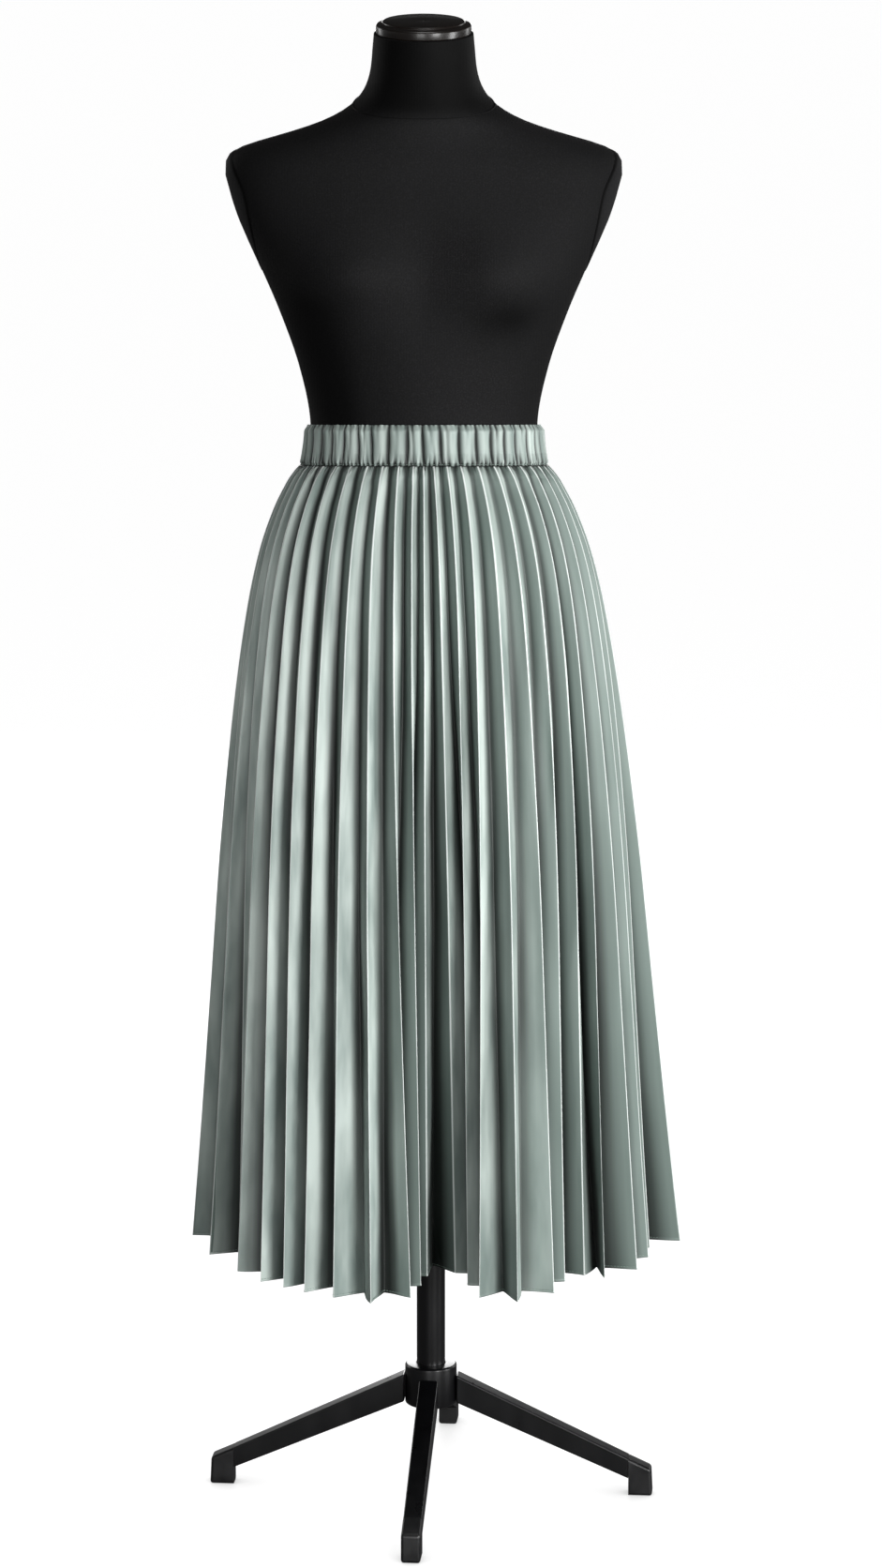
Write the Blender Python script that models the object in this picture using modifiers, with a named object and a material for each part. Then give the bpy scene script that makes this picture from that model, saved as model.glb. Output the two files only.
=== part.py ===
"""A pleated satin skirt on a limbless dress form, with the form's pole and four-legged base.

Blender 4.5, metres, +Z up. The origin is on the floor, on the pole's axis, and the front faces -Y.
The skirt is an elastic waistband and two pleated panels. The cap, form and skirt turn on the pole.
"""
import math

import bmesh
import bpy
from mathutils import Vector

# Heights above the floor
HEM_Z = 0.265
SEAM_Z = 1.0575
BAND_TOP_Z = 1.0975
BORE_TOP_Z = 0.960
HUB_BOTTOM_Z = 0.0915
HUB_TOP_Z = 0.1338

# Cloth and fits
CLOTH = 0.0012
PIECE_GAP = 0.0003
SEAM_GAP = 0.0005
BAND_CLEARANCE = 0.0005
BORE_CLEARANCE = 0.0005

# The form stands a little to the left of its pole, and the hem hangs a little to the right
FORM_X = -0.0065
HEM_X = 0.005

# Pleats: every face is as wide as the next, and grows wider towards the hem
FACE_AT_SEAM = 0.0112
FACE_AT_HEM = 0.036
LEAST_DEPTH = 0.40          # of a face's width, where the pleats are pulled open
TUCK_SHARE = 0.38           # of the pleat's depth left at the gathered seam
TUCK_LEVEL = 0.04           # share of the length where the tucks have opened
FOLD_START = 0.12           # share of the length where the large folds begin
FOLD_POWER = 1.25
VALLEY_LEAN = 0.35          # how far a valley points at the form rather than square to its ridges
BAND_TILT = math.radians(6.7)
TILT_FADE = 0.30            # share of the length where the waist's tilt has died out
BACK_RIDGES = 24
BACK_UNEVEN = math.radians(1.3)

# Share of the skirt's length at each row of its mesh
LEVELS = (0.0, 0.012, 0.03, 0.065, 0.12, 0.20, 0.30, 0.42, 0.56, 0.70, 0.85, 1.0)

# Skirt outline over the ridges: height, half width, half depth in front, half depth behind
SKIRT_OUTLINE = (
    (1.0575, 0.1243, 0.0945, 0.0965),
    (1.0510, 0.1300, 0.1000, 0.1040),
    (1.0420, 0.1362, 0.1060, 0.1110),
    (1.0150, 0.1500, 0.1185, 0.1245),
    (0.9750, 0.1645, 0.1320, 0.1350),
    (0.9150, 0.1785, 0.1450, 0.1500),
    (0.8200, 0.1935, 0.1600, 0.1660),
    (0.6800, 0.2100, 0.1790, 0.1830),
    (0.5300, 0.2238, 0.1950, 0.1960),
    (0.3800, 0.2378, 0.2060, 0.2060),
    (0.2650, 0.2495, 0.2120, 0.2120),
)

# Front ridges, left to right as seen: degrees round from the front at the seam and at the hem,
# and how far the hem's large folds set the ridge back, in millimetres
FRONT_RIDGES = (
    (-86.0, -93.4, 0),
    (-79.5, -83.5, 24),
    (-73.0, -73.3, 11),
    (-66.5, -64.0, 30),
    (-60.0, -55.2, 9),
    (-52.0, -44.2, 1),
    (-43.5, -36.9, -1),
    (-34.5, -30.6, -5),
    (-26.0, -22.9, -10),
    (-18.5, -13.7, -19),
    (-11.0, -5.6, 6),
    (-4.5, -3.8, 47),
    (0.0, -2.5, 79),
    (4.5, 6.4, 90),
    (10.5, 8.5, 47),
    (17.0, 9.9, 4),
    (25.0, 17.6, -18),
    (33.5, 27.7, -2),
    (41.5, 34.9, 28),
    (49.5, 42.6, 34),
    (57.0, 45.0, 14),
    (64.5, 57.1, 10),
    (72.0, 69.5, 21),
    (79.0, 79.5, 29),
    (86.0, 87.9, 0),
)

# Large folds of the back, which the photograph doesn't show: degrees round, half width, depth in mm
BACK_FOLDS = (
    (124.0, 15.0, 26),
    (166.0, 19.0, 52),
    (211.0, 14.0, 24),
    (243.0, 17.0, 38),
)

# Form sections: height, half width, half depth in front, half depth behind, squareness,
# centre along Y, rings up to the next row
FORM_SECTIONS = (
    (0.7900, 0.1050, 0.0700, 0.0760, 2.0, 0.000, 1),
    (0.7930, 0.1230, 0.0830, 0.0900, 2.0, 0.000, 1),
    (0.8030, 0.1380, 0.0950, 0.1030, 2.1, 0.000, 1),
    (0.8300, 0.1500, 0.1040, 0.1140, 2.1, 0.000, 2),
    (0.8900, 0.1580, 0.1110, 0.1230, 2.1, 0.000, 2),
    (0.9500, 0.1510, 0.1075, 0.1180, 2.1, 0.000, 3),
    (1.0100, 0.1320, 0.0965, 0.1010, 2.1, 0.000, 4),
    (1.0550, 0.1168, 0.0862, 0.0840, 2.0, 0.000, 5),
    (1.1000, 0.1120, 0.0830, 0.0800, 2.0, 0.000, 3),
    (1.1560, 0.1227, 0.0890, 0.0840, 2.1, 0.000, 2),
    (1.2100, 0.1414, 0.0960, 0.0920, 2.2, 0.000, 2),
    (1.2550, 0.1605, 0.1000, 0.0980, 2.3, 0.001, 2),
    (1.3000, 0.1803, 0.0910, 0.0960, 2.5, 0.004, 2),
    (1.3350, 0.1915, 0.0800, 0.0860, 2.6, 0.008, 1),
    (1.3480, 0.1938, 0.0760, 0.0800, 2.6, 0.009, 1),
    (1.3574, 0.1922, 0.0728, 0.0745, 2.5, 0.009, 1),
    (1.3640, 0.1875, 0.0702, 0.0705, 2.4, 0.009, 1),
    (1.3710, 0.1740, 0.0675, 0.0665, 2.2, 0.009, 1),
    (1.3780, 0.1510, 0.0650, 0.0635, 2.1, 0.008, 1),
    (1.3860, 0.1240, 0.0620, 0.0610, 2.0, 0.006, 1),
    (1.3940, 0.1010, 0.0588, 0.0595, 2.0, 0.003, 1),
    (1.4030, 0.0820, 0.0560, 0.0580, 2.0, 0.000, 1),
    (1.4130, 0.0680, 0.0540, 0.0560, 2.0, -0.002, 1),
    (1.4260, 0.0580, 0.0518, 0.0542, 2.0, -0.005, 1),
    (1.4430, 0.0522, 0.0502, 0.0520, 2.0, -0.008, 1),
    (1.4700, 0.0493, 0.0492, 0.0492, 2.0, -0.011, 1),
    (1.4795, 0.0484, 0.0484, 0.0484, 2.0, -0.012, 1),
)
FORM_COLUMNS = 48
BUST_X = 0.082
BUST_Z = 1.250
BUST_WIDTH = 0.055
BUST_HEIGHT = 0.050
BUST_RISE = 0.022
NECK_TILT = math.radians(8)
NECK_TILT_FROM = 1.386
NECK_TILT_FULL = 1.426

# Waistband, measured out from the form
BAND_THICKNESS = 0.0034
GATHER_DEPTH = 0.0028
GATHER_COLUMNS = 4
MINOR_GATHER = 0.55
# Share of the band's height, share of its thickness, share of the gathers' depth
BAND_SECTION = (
    (0.00, 0.00, 0.0),
    (0.50, 0.00, 0.0),
    (0.97, 0.00, 0.0),
    (1.00, 0.45, 0.3),
    (0.95, 0.85, 0.7),
    (0.70, 1.00, 1.0),
    (0.35, 1.10, 1.0),
    (0.08, 1.20, 0.9),
    (0.00, 1.20, 0.6),
)

# Neck cap, turned: radius and height over the neck's top
CAP_PROFILE = (
    (0.0000, 0.0117),
    (0.0009, 0.0117),
    (0.0014, 0.0124),
    (0.0386, 0.0124),
    (0.0398, 0.0118),
    (0.0402, 0.0106),
    (0.0415, 0.0100),
    (0.0452, 0.0093),
    (0.0465, 0.0079),
    (0.0465, 0.0011),
    (0.0457, 0.0003),
    (0.0000, 0.0003),
)

# Stand
POLE_RADIUS = 0.0145
HUB_RADIUS = 0.0264
HUB_EDGE = 0.0015
BASE_TURN = math.radians(-5)
LEG_NAMES = ("right", "back", "left", "front")
LEG_START = 0.0267
LEG_END = 0.2032
LEG_TOP_START_Z = 0.1231
LEG_TOP_END_Z = 0.0392
LEG_BOTTOM_START_Z = 0.0940
LEG_BOTTOM_END_Z = 0.0180
LEG_WIDTH_START = 0.0195
LEG_WIDTH_END = 0.0186
LEG_EDGE = 0.0016
FOOT_END = 0.2280
FOOT_TOP_END = 0.2266
FOOT_TOP_START_Z = 0.0390
FOOT_TOP_END_Z = 0.0286
FOOT_WIDTH = 0.0194
FOOT_EDGE = 0.0030
TURNED_STEPS = 48
POLE_SIDES = 32


def clear_scene():
    """Remove what the file already holds."""
    for old in list(bpy.data.objects):
        bpy.data.objects.remove(old, do_unlink=True)


def material(name, colour, roughness, metallic=0.0):
    """A plain Principled material."""
    made = bpy.data.materials.new(name)
    made.use_nodes = True
    shader = made.node_tree.nodes["Principled BSDF"]
    shader.inputs["Base Color"].default_value = (*colour, 1.0)
    shader.inputs["Roughness"].default_value = roughness
    shader.inputs["Metallic"].default_value = metallic
    return made


def add_object(name, mesh, finish, parent, collection):
    """Put a mesh in the scene as one piece."""
    piece = bpy.data.objects.new(name, mesh)
    mesh.materials.append(finish)
    collection.objects.link(piece)
    piece.parent = parent
    return piece


def share(low, high, value):
    """How far value lies from low to high, held between 0 and 1."""
    return min(1.0, max(0.0, (value - low) / (high - low)))


def eased(low, high, value):
    """As share, with a soft start and end."""
    part = share(low, high, value)
    return part * part * (3.0 - 2.0 * part)


def row_at(table, height):
    """The columns of a table at a height, on a smooth curve through its rows."""
    rows = sorted(table)
    height = min(max(height, rows[0][0]), rows[-1][0])
    index = 0
    while index < len(rows) - 2 and height > rows[index + 1][0]:
        index += 1
    before = rows[max(index - 1, 0)]
    start = rows[index]
    end = rows[index + 1]
    after = rows[min(index + 2, len(rows) - 1)]
    span = end[0] - start[0]
    t = (height - start[0]) / span
    values = []
    for column in range(1, len(start)):
        slope_start = (end[column] - before[column]) / (end[0] - before[0]) * span
        slope_end = (after[column] - start[column]) / (after[0] - start[0]) * span
        values.append(
            (2 * t**3 - 3 * t**2 + 1) * start[column]
            + (t**3 - 2 * t**2 + t) * slope_start
            + (3 * t**2 - 2 * t**3) * end[column]
            + (t**3 - t**2) * slope_end
        )
    return values


# The form

def form_point(height, turn, grow=0.0):
    """A point of the form's surface. turn is 0 in front and a quarter turn at +X."""
    half_width, front, behind, squareness, centre_y, _ = row_at(FORM_SECTIONS, height)
    across = math.sin(turn)
    ahead = math.cos(turn)
    power = 2.0 / squareness
    depth = front if ahead > 0 else behind
    x = (half_width + grow) * math.copysign(abs(across) ** power, across)
    y = centre_y - (depth + grow) * math.copysign(abs(ahead) ** power, ahead)
    if ahead > 0:
        aside = (abs(x) - BUST_X) / BUST_WIDTH
        above = (height - BUST_Z) / BUST_HEIGHT
        y -= BUST_RISE * math.exp(-aside * aside - above * above) * min(1.0, 3.0 * ahead)
    z = height + (y - centre_y) * math.tan(NECK_TILT) * eased(NECK_TILT_FROM, NECK_TILT_FULL, height)
    return Vector((FORM_X + x, y, z))


def form_heights():
    """The heights of the form's rings, from its base to the top of its neck."""
    heights = []
    for row, upper in zip(FORM_SECTIONS, FORM_SECTIONS[1:]):
        rings = row[-1]
        heights += [row[0] + (upper[0] - row[0]) * step / rings for step in range(rings)]
    return heights + [FORM_SECTIONS[-1][0]]


def loft(name, rings, close_ends):
    """A mesh through rings of equally many points, with flat ends or joined end to end."""
    shape = bmesh.new()
    made = [[shape.verts.new(point) for point in ring] for ring in rings]
    count = len(made[0])
    pairs = list(zip(made, made[1:]))
    if not close_ends:
        pairs.append((made[-1], made[0]))
    for lower, upper in pairs:
        for i in range(count):
            j = (i + 1) % count
            shape.faces.new((lower[i], lower[j], upper[j], upper[i]))
    if close_ends:
        shape.faces.new(made[0])
        shape.faces.new(made[-1])
    bmesh.ops.recalc_face_normals(shape, faces=shape.faces)
    mesh = bpy.data.meshes.new(name)
    shape.to_mesh(mesh)
    shape.free()
    mesh.shade_smooth()
    mesh.set_sharp_from_angle(angle=math.radians(50))
    return mesh


def form_mesh():
    """The form, with a socket in its base for the top of the pole."""
    turns = [2 * math.pi * i / FORM_COLUMNS for i in range(FORM_COLUMNS)]
    base = FORM_SECTIONS[0][0]
    bore = POLE_RADIUS + BORE_CLEARANCE
    rings = [
        [Vector((bore * math.sin(t), -bore * math.cos(t), z)) for t in turns]
        for z in (BORE_TOP_Z, base)
    ]
    rings += [[form_point(z, t) for t in turns] for z in form_heights()]
    return loft("form", rings, close_ends=True)


# The skirt

def ridge_lines():
    """Each ridge as its turn at the seam, its turn at the hem and its set-back at the hem."""
    lines = [
        (math.radians(seam), math.radians(hem), set_back / 1000)
        for seam, hem, set_back in FRONT_RIDGES
    ]
    first_seam, first_hem, _ = lines[0]
    last_seam, last_hem, _ = lines[-1]
    for i in range(1, BACK_RIDGES + 1):
        part = i / (BACK_RIDGES + 1)
        seam = last_seam + (first_seam + 2 * math.pi - last_seam) * part
        hem = last_hem + (first_hem + 2 * math.pi - last_hem) * part
        hem += BACK_UNEVEN * math.sin(2.4 * i)
        set_back = 0.0
        for centre, reach, depth in BACK_FOLDS:
            away = abs(math.degrees(hem) - centre) / reach
            if away < 1.0:
                set_back += depth / 1000 * math.cos(away * math.pi / 2) ** 2
        lines.append((seam, hem, set_back))
    return lines


def ellipse_point(level, turn):
    """A point of the skirt's outline, and the direction from there towards the form."""
    height = SEAM_Z + (HEM_Z - SEAM_Z) * level
    half_width, front, behind = row_at(SKIRT_OUTLINE, height)
    depth = front if math.cos(turn) > 0 else behind
    centre = FORM_X + (HEM_X - FORM_X) * level
    point = Vector((centre + half_width * math.sin(turn), -depth * math.cos(turn)))
    inward = Vector((-math.sin(turn) / half_width, math.cos(turn) / depth)).normalized()
    return point, inward


def pleat_ring(level, lines):
    """The skirt's section at a level, as ridge and valley points in turn, from the first ridge."""
    fold = share(FOLD_START, 1.0, level) ** FOLD_POWER
    ridges = []
    inwards = []
    for seam, hem, set_back in lines:
        point, inward = ellipse_point(level, seam + (hem - seam) * level)
        ridges.append(point + inward * set_back * fold)
        inwards.append(inward)
    face = FACE_AT_SEAM + (FACE_AT_HEM - FACE_AT_SEAM) * level
    tuck = TUCK_SHARE + (1.0 - TUCK_SHARE) * eased(0.0, TUCK_LEVEL, level)
    ring = []
    for i, ridge in enumerate(ridges):
        following = ridges[(i + 1) % len(ridges)]
        chord = following - ridge
        square = Vector((-chord.y, chord.x)).normalized()
        aimed = (inwards[i] + inwards[(i + 1) % len(ridges)]).normalized()
        lean = (square * (1.0 - VALLEY_LEAN) + aimed * VALLEY_LEAN).normalized()
        spare = face * face - chord.length_squared / 4
        depth = math.sqrt(max(spare, (LEAST_DEPTH * face) ** 2)) * tuck
        ring.append(ridge)
        ring.append((ridge + following) / 2 + lean * depth)
    return ring


def skirt_height(level, y):
    """Height of the cloth at a level, a little higher in front near the waist."""
    height = SEAM_Z - SEAM_GAP + (HEM_Z - SEAM_Z + SEAM_GAP) * level
    return height - y * math.tan(BAND_TILT) * (1.0 - eased(0.0, TILT_FADE, level))


def panel_mesh(name, first, last):
    """One pleated panel as an open sheet, from valley to valley round its ridges."""
    lines = ridge_lines()
    shape = bmesh.new()
    rows = []
    for level in LEVELS:
        ring = pleat_ring(level, lines)
        points = [ring[i % len(ring)] for i in range(2 * first - 1, 2 * last + 2)]
        points[0] = points[0] + (points[1] - points[0]).normalized() * PIECE_GAP / 2
        points[-1] = points[-1] + (points[-2] - points[-1]).normalized() * PIECE_GAP / 2
        rows.append([shape.verts.new((p.x, p.y, skirt_height(level, p.y))) for p in points])
    for upper, lower in zip(rows, rows[1:]):
        for i in range(len(upper) - 1):
            shape.faces.new((lower[i], lower[i + 1], upper[i + 1], upper[i]))
    mesh = bpy.data.meshes.new(name)
    shape.to_mesh(mesh)
    shape.free()
    return mesh


def thicken(piece):
    """Give a sheet the thickness of the pressed cloth, inside its outer face."""
    solid = piece.modifiers.new("Cloth", "SOLIDIFY")
    solid.thickness = CLOTH
    solid.offset = -1.0
    solid.use_even_offset = True


def band_mesh():
    """The gathered waistband, with a smooth inside that follows the form."""
    lines = ridge_lines()
    rings = []
    for rise, thickness, gathers in BAND_SECTION:
        ring = []
        for i, (seam, _, _) in enumerate(lines):
            following = lines[(i + 1) % len(lines)][0]
            if following < seam:
                following += 2 * math.pi
            strength = 0.80 + 0.20 * math.sin(1.9 * i)
            heights = (strength, 0.15, MINOR_GATHER * strength, 0.0)
            for column in range(GATHER_COLUMNS):
                turn = seam + (following - seam) * column / GATHER_COLUMNS
                out = BAND_CLEARANCE + BAND_THICKNESS * thickness
                out += GATHER_DEPTH * gathers * heights[column]
                level = SEAM_Z + (BAND_TOP_Z - SEAM_Z) * rise
                place = form_point(level, turn)
                lifted = level - place.y * math.tan(BAND_TILT)
                place = form_point(lifted, turn, out)
                ring.append(place)
        rings.append(ring)
    return loft("waistband", rings, close_ends=False)


# The stand and the cap

def turned(name, profile, finish, parent, collection):
    """A turned piece from its profile, which runs down the outer side."""
    mesh = bpy.data.meshes.new(name)
    points = [(radius, 0.0, height) for radius, height in profile]
    edges = [(i, i + 1) for i in range(len(points) - 1)]
    mesh.from_pydata(points, edges, [])
    piece = add_object(name, mesh, finish, parent, collection)
    lathe = piece.modifiers.new("Lathe", "SCREW")
    lathe.steps = TURNED_STEPS
    lathe.render_steps = TURNED_STEPS
    lathe.use_merge_vertices = True
    lathe.merge_threshold = 0.00005
    return piece


def tapered_block(name, start, end, low, high, width, edge, finish, parent, collection):
    """A block along +X with rounded edges. start and end are the X at the bottom and at the top,
    low and high are the Z at the start and at the end, and so is width."""
    shape = bmesh.new()
    bmesh.ops.create_cube(shape, size=2.0)
    for vertex in shape.verts:
        outer = 1 if vertex.co.x > 0 else 0
        top = 1 if vertex.co.z > 0 else 0
        side = math.copysign(width[outer] / 2, vertex.co.y)
        x = (start, end)[outer][top]
        z = (low, high)[top][outer]
        vertex.co = (x, side, z)
    mesh = bpy.data.meshes.new(name)
    shape.to_mesh(mesh)
    shape.free()
    piece = add_object(name, mesh, finish, parent, collection)
    bevel = piece.modifiers.new("Edges", "BEVEL")
    bevel.width = edge
    bevel.segments = 2
    return piece


def build_skirt(satin, axis, collection):
    """The waistband and the two panels."""
    add_object("waistband", band_mesh(), satin, axis, collection)
    front_count = len(FRONT_RIDGES)
    ridge_count = front_count + BACK_RIDGES
    front = panel_mesh("skirt_front", 0, front_count - 1)
    back = panel_mesh("skirt_back", front_count, ridge_count - 1)
    for name, mesh in (("skirt_front", front), ("skirt_back", back)):
        thicken(add_object(name, mesh, satin, axis, collection))


def build_form(jersey, gloss, axis, collection):
    """The padded form and its neck cap."""
    add_object("form", form_mesh(), jersey, axis, collection)
    cap = turned("neck_cap", CAP_PROFILE, gloss, axis, collection)
    top, _, _, _, _, centre_y, _ = FORM_SECTIONS[-1]
    cap.location = (FORM_X, centre_y, top)
    cap.rotation_euler = (NECK_TILT, 0.0, 0.0)


def build_stand(metal, plastic, base, collection):
    """The pole, the hub, and the legs with their feet."""
    socket = POLE_RADIUS + PIECE_GAP
    socket_floor = HUB_BOTTOM_Z + 0.008
    hub_profile = (
        (0.0, socket_floor),
        (socket, socket_floor),
        (socket, HUB_TOP_Z),
        (HUB_RADIUS - HUB_EDGE, HUB_TOP_Z),
        (HUB_RADIUS, HUB_TOP_Z - HUB_EDGE),
        (HUB_RADIUS, HUB_BOTTOM_Z + HUB_EDGE),
        (HUB_RADIUS - HUB_EDGE, HUB_BOTTOM_Z),
        (0.0, HUB_BOTTOM_Z),
    )
    turned("hub", hub_profile, metal, base, collection)

    pole_bottom = socket_floor + PIECE_GAP
    pole_top = BORE_TOP_Z - PIECE_GAP
    bpy.ops.mesh.primitive_cylinder_add(
        vertices=POLE_SIDES,
        radius=POLE_RADIUS,
        depth=pole_top - pole_bottom,
        location=(0.0, 0.0, (pole_top + pole_bottom) / 2),
    )
    pole = bpy.context.object
    pole.name = "pole"
    pole.data.materials.append(metal)
    pole.data.shade_smooth()
    pole.data.set_sharp_from_angle(angle=math.radians(50))
    for old in list(pole.users_collection):
        old.objects.unlink(pole)
    collection.objects.link(pole)
    pole.parent = base

    for i, side in enumerate(LEG_NAMES):
        leg = tapered_block(
            "leg_" + side,
            start=(LEG_START, LEG_START),
            end=(LEG_END, LEG_END),
            low=(LEG_BOTTOM_START_Z, LEG_BOTTOM_END_Z),
            high=(LEG_TOP_START_Z, LEG_TOP_END_Z),
            width=(LEG_WIDTH_START, LEG_WIDTH_END),
            edge=LEG_EDGE,
            finish=metal,
            parent=base,
            collection=collection,
        )
        foot_start = LEG_END + PIECE_GAP
        foot = tapered_block(
            "foot_" + side,
            start=(foot_start, foot_start),
            end=(FOOT_END, FOOT_TOP_END),
            low=(0.0, 0.0),
            high=(FOOT_TOP_START_Z, FOOT_TOP_END_Z),
            width=(FOOT_WIDTH, FOOT_WIDTH),
            edge=FOOT_EDGE,
            finish=plastic,
            parent=base,
            collection=collection,
        )
        leg.rotation_euler.z = i * math.pi / 2
        foot.rotation_euler.z = i * math.pi / 2


def main():
    """Build the dressed form on its stand."""
    clear_scene()
    collection = bpy.data.collections.new("pleated_skirt_on_dress_form")
    bpy.context.scene.collection.children.link(collection)

    satin = material("satin", (0.26, 0.33, 0.295), 0.38)
    jersey = material("jersey", (0.012, 0.012, 0.013), 0.90)
    gloss = material("lacquer", (0.010, 0.009, 0.009), 0.18)
    metal = material("powder_coat", (0.014, 0.014, 0.015), 0.45)
    plastic = material("foot_plastic", (0.012, 0.012, 0.013), 0.35)

    # The form's empty is on the axis that the form turns about
    axis = bpy.data.objects.new("form_axis", None)
    base = bpy.data.objects.new("stand_base", None)
    base.rotation_euler.z = BASE_TURN
    for empty in (axis, base):
        collection.objects.link(empty)

    build_skirt(satin, axis, collection)
    build_form(jersey, gloss, axis, collection)
    build_stand(metal, plastic, base, collection)


main()
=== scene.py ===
"""The looks of a pleated satin skirt on a black dress form: cloth, jersey, lacquer and powder coat.

Metres, +Z up, front towards -Y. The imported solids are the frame. The cloth is made here as thin
shells on the solids' own form, with finer pleats, gathers, puckers and sewing.
"""
import random
from math import acos, copysign, cos, degrees, exp, pi, radians, sin, sqrt, tan, tau

import bmesh
import bpy
from mathutils import Matrix, Vector, noise


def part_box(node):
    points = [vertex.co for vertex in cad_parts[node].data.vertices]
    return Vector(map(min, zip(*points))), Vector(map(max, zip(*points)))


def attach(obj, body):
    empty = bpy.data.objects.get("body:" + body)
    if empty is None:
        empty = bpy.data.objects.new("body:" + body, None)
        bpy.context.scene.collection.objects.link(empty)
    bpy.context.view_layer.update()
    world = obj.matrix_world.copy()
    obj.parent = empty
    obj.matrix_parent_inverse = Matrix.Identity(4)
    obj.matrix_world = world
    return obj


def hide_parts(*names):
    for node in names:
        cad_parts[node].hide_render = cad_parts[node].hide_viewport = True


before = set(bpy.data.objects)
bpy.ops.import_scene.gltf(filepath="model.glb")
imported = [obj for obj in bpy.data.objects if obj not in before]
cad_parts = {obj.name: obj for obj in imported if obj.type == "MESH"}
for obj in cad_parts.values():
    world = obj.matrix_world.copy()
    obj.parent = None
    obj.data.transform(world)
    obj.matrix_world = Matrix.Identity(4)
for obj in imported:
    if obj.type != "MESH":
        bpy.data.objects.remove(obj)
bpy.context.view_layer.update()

# Heights of the cloth, as in the part's source
HEM_Z = 0.265
SEAM_Z = 1.0575
BAND_TOP_Z = 1.0975

# Heights of the stand, read from the frame
HUB_BOTTOM_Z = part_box("hub")[0].z
HUB_TOP_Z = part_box("hub")[1].z
POLE_LOW, POLE_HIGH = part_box("pole")

# Camera: the photograph was taken from in front and above
CAMERA_PLACE = (0.0103, -4.75, 1.66)
CAMERA_PITCH = radians(79)
CAMERA_LENS_MM = 111.1
SENSOR_MM = 36.0

# The form stands a little to the left of its pole, and the hem hangs a little to the right
FORM_X = -0.0065
HEM_X = 0.005

# Pleats
FACE_AT_SEAM = 0.0112
FACE_AT_HEM = 0.036
LEAST_DEPTH = 0.40
TUCK_SHARE = 0.38
TUCK_LEVEL = 0.04
FOLD_START = 0.12
FOLD_POWER = 1.25
VALLEY_LEAN = 0.35
BAND_TILT = radians(6.7)
TILT_FADE = 0.30
BACK_RIDGES = 24
BACK_UNEVEN = radians(1.3)
SEAM_GAP = 0.0005

# Satin shell
SHELL = 0.0006
RIDGE_ROUND = 0.0014  # half width of a pressed edge
RIDGE_PULL = 0.00045  # how far its rounding pulls it in
VALLEY_ROUND = 0.0015
VALLEY_PULL = 0.0006
FACE_SHARES = (0.20, 0.40, 0.60, 0.80)
FACE_OF_HEM = 0.7  # width of a face in the cloth's coordinates, as a share of that at the hem
BOW = 0.022  # of a face's width
BOW_RANGE = (-0.2, 1.0)  # shares of it, face by face
CURL = 0.004  # of a face's width: out near its ridge, in near its valley
WAVE_LENGTHS = (0.330, 0.170, 0.090)
WAVE_HEIGHTS = (0.00070, 0.00035, 0.00012)
WAVE_STRENGTH = (0.35, 1.25)
WAVE_STRETCH = (0.8, 1.25)
WAVES_FULL = 0.10  # distance below the seam where the waves have grown
PUCKER_DROP = 0.030
PUCKER_HEIGHT = 0.0009
HEM_ROLL = 0.0022
HEM_ROLL_HEIGHT = 0.00035

# Rows of the shell: start, step and count below the seam, then the even rows, then those over the hem
ROWS_AT_SEAM = (0.0, 0.0012, 8)
ROWS_UNDER_SEAM = (0.0100, 0.0028, 12)
EVEN_ROWS = 88
EVEN_ROWS_FROM = 0.0460
EVEN_ROWS_TO_HEM = 0.0090
ROWS_OVER_HEM = (0.0060, 0.0040, 0.0030, 0.0025, 0.0020, 0.0013, 0.0005, 0.0)

# Painted shade inside the pleats, which the satin's colour follows, and painted light on pleats that stand
# proud
PLEAT_SHADE_RANGE = (0.75, 1.25)  # least and most strength of the painted shade inside a pleat, picked at random for each
SHADE_DRIFT = 0.45  # how much that changes along a pleat
FOLD_DARKNESS = 0.35
FOLD_FULL = 0.050  # set-back where a large fold is darkest
PROUD_LIGHT = 0.60
PROUD_FULL = 0.015  # how far out a pleat is lightest
PROUD_SHADE_LOSS = 0.8  # how much of the painted side shade such a pleat's turned face loses
LIT_FACE_SHADE = 0.30  # the most painted side shade that a face turned right takes, in places
EYE_POWER = 2.2  # light grows as this power of how bright it looks

# Sewing: length of a stitch, gap after it and radius of the thread
WAIST_STITCH = (0.0024, 0.0007, 0.00028)
HEM_STITCH = (0.0024, 0.0008, 0.00024)
STITCH_ABOVE_ROLL = 0.0004

# Skirt outline over the ridges: height, half width, half depth in front, half depth behind
SKIRT_OUTLINE = (
    (1.0575, 0.1243, 0.0945, 0.0965),
    (1.0510, 0.1300, 0.1000, 0.1040),
    (1.0420, 0.1362, 0.1060, 0.1110),
    (1.0150, 0.1500, 0.1185, 0.1245),
    (0.9750, 0.1645, 0.1320, 0.1350),
    (0.9150, 0.1785, 0.1450, 0.1500),
    (0.8200, 0.1935, 0.1600, 0.1660),
    (0.6800, 0.2100, 0.1790, 0.1830),
    (0.5300, 0.2238, 0.1950, 0.1960),
    (0.3800, 0.2378, 0.2060, 0.2060),
    (0.2650, 0.2495, 0.2120, 0.2120),
)

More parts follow.
